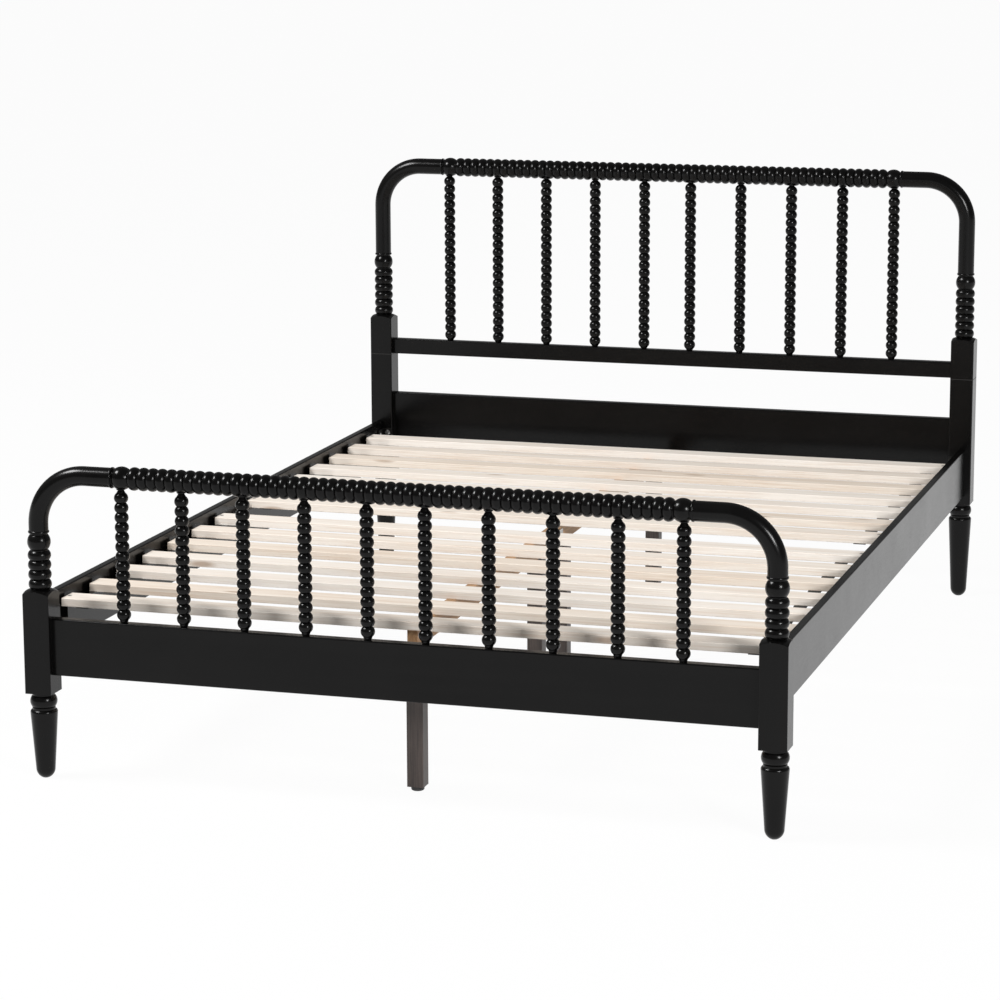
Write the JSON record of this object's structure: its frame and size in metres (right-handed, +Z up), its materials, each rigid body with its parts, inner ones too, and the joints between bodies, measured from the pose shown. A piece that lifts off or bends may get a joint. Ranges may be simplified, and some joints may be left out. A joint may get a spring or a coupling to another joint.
{
  "type": "spindle bed",
  "caption": "Full-size painted wood bed with bead-turned spindle headboard and footboard, bent corner tubes, slatted base on ledgers and a legged centre support.",
  "frame": {"origin": "on the floor under the middle of the bed's outline", "axes": "+X to the right seen from the foot, +Y from the foot to the head, +Z up"},
  "size_m": [1.456, 2.0416, 0.9849],
  "materials": {
    "black_paint": "turned and sawn solid wood under black satin paint, with faint grain",
    "raw_slat_wood": "pale raw softwood, planed, with fine streaks and a few knots",
    "beam_wood": "natural warm brown wood, unfinished",
    "dark_wood": "dark brown stained wood, satin",
    "webbing": "black woven strap",
    "glide_plastic": "matte black plastic",
    "zinc_steel": "zinc-plated pressed steel",
    "dowel_wood": "plain beech dowels and tenons"
  },
  "bodies": {
    "bed": {"foot_post_l": "black_paint", "foot_post_r": "black_paint", "head_lower_post_l": "black_paint", "head_lower_post_r": "black_paint", "head_upper_post_l": "black_paint", "head_upper_post_r": "black_paint", "foot_elbow_l": "black_paint", "foot_elbow_r": "black_paint", "head_elbow_l": "black_paint", "head_elbow_r": "black_paint", "foot_top_rail": "black_paint", "head_top_rail": "black_paint", "foot_panel": "black_paint", "head_mid_rail": "black_paint", "head_panel": "black_paint", "foot_spindle_01": "black_paint", "foot_spindle_02": "black_paint", "foot_spindle_03": "black_paint", "foot_spindle_04": "black_paint", "foot_spindle_05": "black_paint", "foot_spindle_06": "black_paint", "foot_spindle_07": "black_paint", "foot_spindle_08": "black_paint", "foot_spindle_09": "black_paint", "foot_spindle_10": "black_paint", "head_spindle_01": "black_paint", "head_spindle_02": "black_paint", "head_spindle_03": "black_paint", "head_spindle_04": "black_paint", "head_spindle_05": "black_paint", "head_spindle_06": "black_paint", "head_spindle_07": "black_paint", "head_spindle_08": "black_paint", "head_spindle_09": "black_paint", "head_spindle_10": "black_paint", "leg_foot_l": "black_paint", "leg_foot_r": "black_paint", "leg_head_l": "black_paint", "leg_head_r": "black_paint", "side_rail_l": "black_paint", "side_rail_r": "black_paint", "ledger_l": "black_paint", "ledger_r": "black_paint", "foot_slats": "raw_slat_wood", "head_slats": "raw_slat_wood", "slat_webbing": "webbing", "centre_beam_foot": "beam_wood", "centre_beam_head": "beam_wood", "centre_legs": "dark_wood", "corner_brackets": "zinc_steel", "bed_bolts": "zinc_steel", "short_screws": "zinc_steel", "slat_screws": "zinc_steel", "splice_plates": "zinc_steel", "leg_studs": "zinc_steel", "dowels": "dowel_wood"},
    "levelling_glide_1": {"glide_1": "glide_plastic"},
    "levelling_glide_2": {"glide_2": "glide_plastic"},
    "levelling_glide_3": {"glide_3": "glide_plastic"},
    "levelling_glide_4": {"glide_4": "glide_plastic"}
  },
  "joints": [
    {"name": "glide_screw_1", "type": "slide", "parent": "bed", "child": "levelling_glide_1", "axis": [0, 0, 1], "range_m": [-0.012, 0]},
    {"name": "glide_screw_2", "type": "slide", "parent": "bed", "child": "levelling_glide_2", "axis": [0, 0, 1], "range_m": [-0.012, 0]},
    {"name": "glide_screw_3", "type": "slide", "parent": "bed", "child": "levelling_glide_3", "axis": [0, 0, 1], "range_m": [-0.012, 0]},
    {"name": "glide_screw_4", "type": "slide", "parent": "bed", "child": "levelling_glide_4", "axis": [0, 0, 1], "range_m": [-0.012, 0]}
  ]
}
